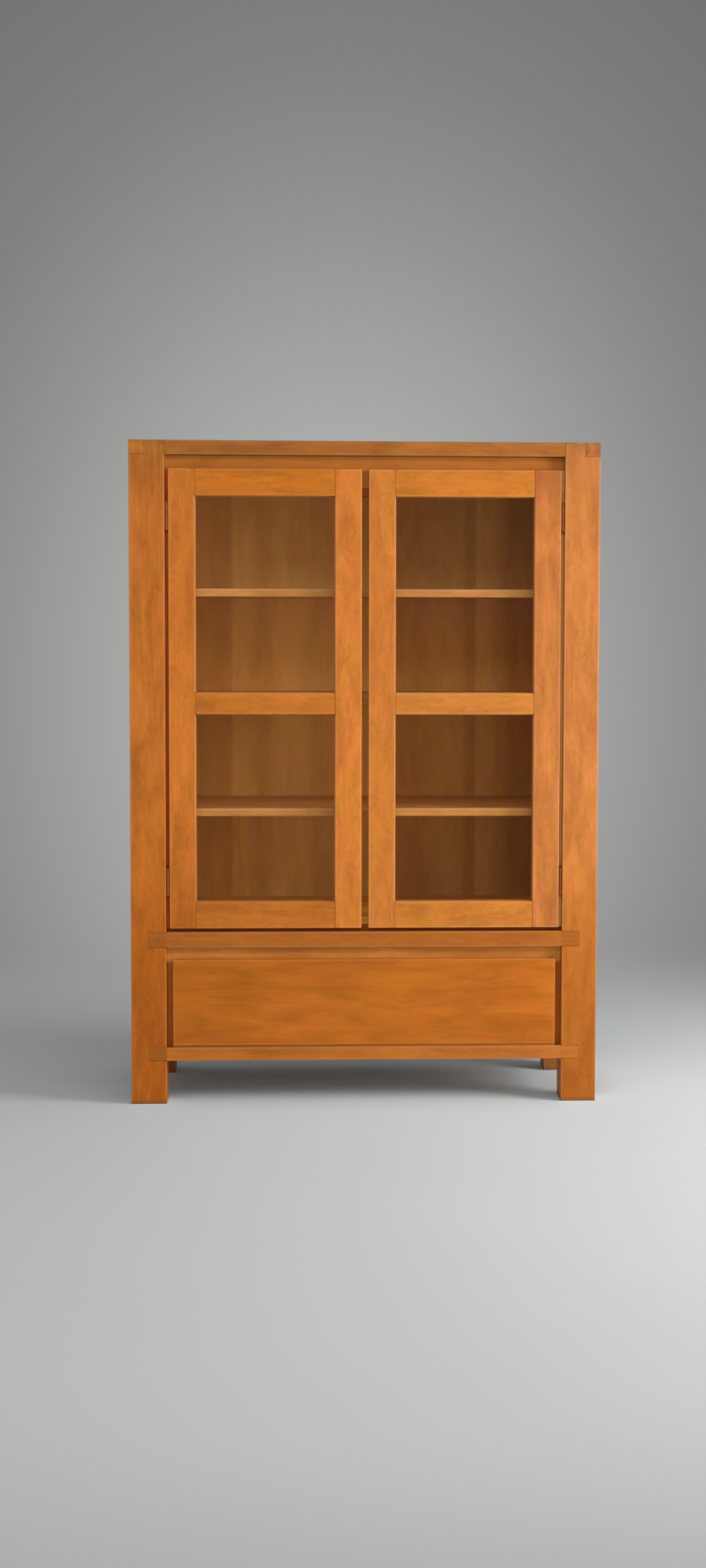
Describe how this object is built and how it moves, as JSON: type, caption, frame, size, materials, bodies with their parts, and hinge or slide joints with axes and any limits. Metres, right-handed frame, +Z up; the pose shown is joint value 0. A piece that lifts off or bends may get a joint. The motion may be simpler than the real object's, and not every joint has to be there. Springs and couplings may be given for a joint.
{
  "type": "display cabinet",
  "caption": "Tall solid-wood display cabinet on post feet: glazed frame doors that meet at a finger gap over shelves, above a full-width drawer with a recessed finger strip.",
  "frame": {"origin": "centre of the footprint on the floor", "axes": "+Z up, +X to the right seen from the front, -Y to the front"},
  "size_m": [1.2, 0.5, 1.7],
  "materials": {
    "cabinet_wood": "oiled orange-brown hardwood, satin",
    "drawer_wood": "plain lacquered hardwood",
    "pane_glass": "clear float glass",
    "hinge_bronze": "dark bronze",
    "catch_plastic": "dark brown moulded plastic",
    "strike_steel": "plain steel plate"
  },
  "bodies": {
    "carcass": {"post_front_left": "cabinet_wood", "post_front_right": "cabinet_wood", "post_rear_left": "cabinet_wood", "post_rear_right": "cabinet_wood", "top_rail_front": "cabinet_wood", "top_rail_rear": "cabinet_wood", "top_rail_left": "cabinet_wood", "top_rail_right": "cabinet_wood", "bottom_rail_front": "cabinet_wood", "bottom_rail_rear": "cabinet_wood", "bottom_rail_left": "cabinet_wood", "bottom_rail_right": "cabinet_wood", "middle_rail": "cabinet_wood", "top_panel": "cabinet_wood", "side_panel_left": "cabinet_wood", "side_panel_right": "cabinet_wood", "back_panel": "cabinet_wood", "door_header": "cabinet_wood", "drawer_header": "cabinet_wood", "floor_sill": "cabinet_wood", "cabinet_floor": "cabinet_wood", "shelf_lower": "cabinet_wood", "shelf_middle": "cabinet_wood", "shelf_upper": "cabinet_wood", "magnetic_catch": "catch_plastic", "drawer_runner_left": "drawer_wood", "drawer_runner_right": "drawer_wood", "door_left_upper_hinge_post_leaf": "hinge_bronze", "door_left_upper_hinge_pin": "hinge_bronze", "door_left_lower_hinge_post_leaf": "hinge_bronze", "door_left_lower_hinge_pin": "hinge_bronze", "door_right_upper_hinge_post_leaf": "hinge_bronze", "door_right_upper_hinge_pin": "hinge_bronze", "door_right_lower_hinge_post_leaf": "hinge_bronze", "door_right_lower_hinge_pin": "hinge_bronze"},
    "door_left": {"door_left_hinge_stile": "cabinet_wood", "door_left_meeting_stile": "cabinet_wood", "door_left_top_rail": "cabinet_wood", "door_left_middle_rail": "cabinet_wood", "door_left_bottom_rail": "cabinet_wood", "door_left_upper_pane": "pane_glass", "door_left_lower_pane": "pane_glass", "door_left_strike": "strike_steel", "door_left_upper_hinge_door_leaf": "hinge_bronze", "door_left_lower_hinge_door_leaf": "hinge_bronze"},
    "door_right": {"door_right_hinge_stile": "cabinet_wood", "door_right_meeting_stile": "cabinet_wood", "door_right_top_rail": "cabinet_wood", "door_right_middle_rail": "cabinet_wood", "door_right_bottom_rail": "cabinet_wood", "door_right_upper_pane": "pane_glass", "door_right_lower_pane": "pane_glass", "door_right_strike": "strike_steel", "door_right_upper_hinge_door_leaf": "hinge_bronze", "door_right_lower_hinge_door_leaf": "hinge_bronze"},
    "drawer": {"drawer_front": "cabinet_wood", "drawer_side_left": "drawer_wood", "drawer_side_right": "drawer_wood", "drawer_back": "drawer_wood", "drawer_bottom": "drawer_wood"}
  },
  "joints": [
    {"name": "door_left_swing", "type": "hinge", "parent": "carcass", "child": "door_left", "pos_m": [-0.5055, -0.245, 1.042], "axis": [0, 0, -1], "range_deg": [0, 100]},
    {"name": "door_right_swing", "type": "hinge", "parent": "carcass", "child": "door_right", "pos_m": [0.5055, -0.245, 1.042], "axis": [0, 0, 1], "range_deg": [0, 100]},
    {"name": "drawer_slide", "type": "slide", "parent": "carcass", "child": "drawer", "axis": [0, -1, 0], "range_m": [0, 0.3]}
  ]
}
